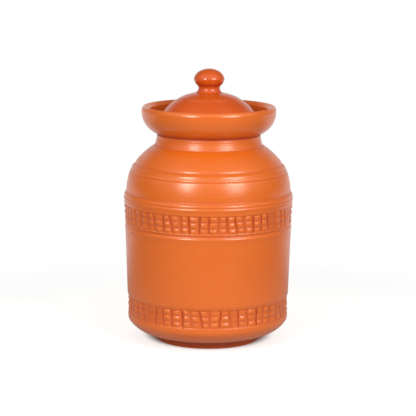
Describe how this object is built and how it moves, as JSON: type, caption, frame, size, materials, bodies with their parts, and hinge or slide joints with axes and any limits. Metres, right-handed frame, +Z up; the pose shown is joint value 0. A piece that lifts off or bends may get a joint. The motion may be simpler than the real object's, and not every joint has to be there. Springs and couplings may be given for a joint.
{
  "type": "clay water pot",
  "caption": "Lidded terracotta water pot: turned body with stamped bands, narrow neck and a cup-shaped rim that holds a domed lid with a knob.",
  "frame": {"origin": "centre of the base, on the pot's axis, at the ground under the foot ring", "axes": "+Z up along the pot's axis of revolution; +X to the right and +Y away in the front view, which are interchangeable on this round pot"},
  "size_m": [0.2002, 0.2002, 0.3214],
  "materials": {
    "terracotta_body": "satin burnished slip",
    "terracotta_lid": "satin burnished slip"
  },
  "bodies": {
    "pot": {"pot_body": "terracotta_body"},
    "lid": {"lid": "terracotta_lid"}
  },
  "joints": [
    {"name": "lid_lift", "type": "slide", "parent": "pot", "child": "lid", "axis": [0, 0, 1], "range_m": [0, 0.12]}
  ]
}
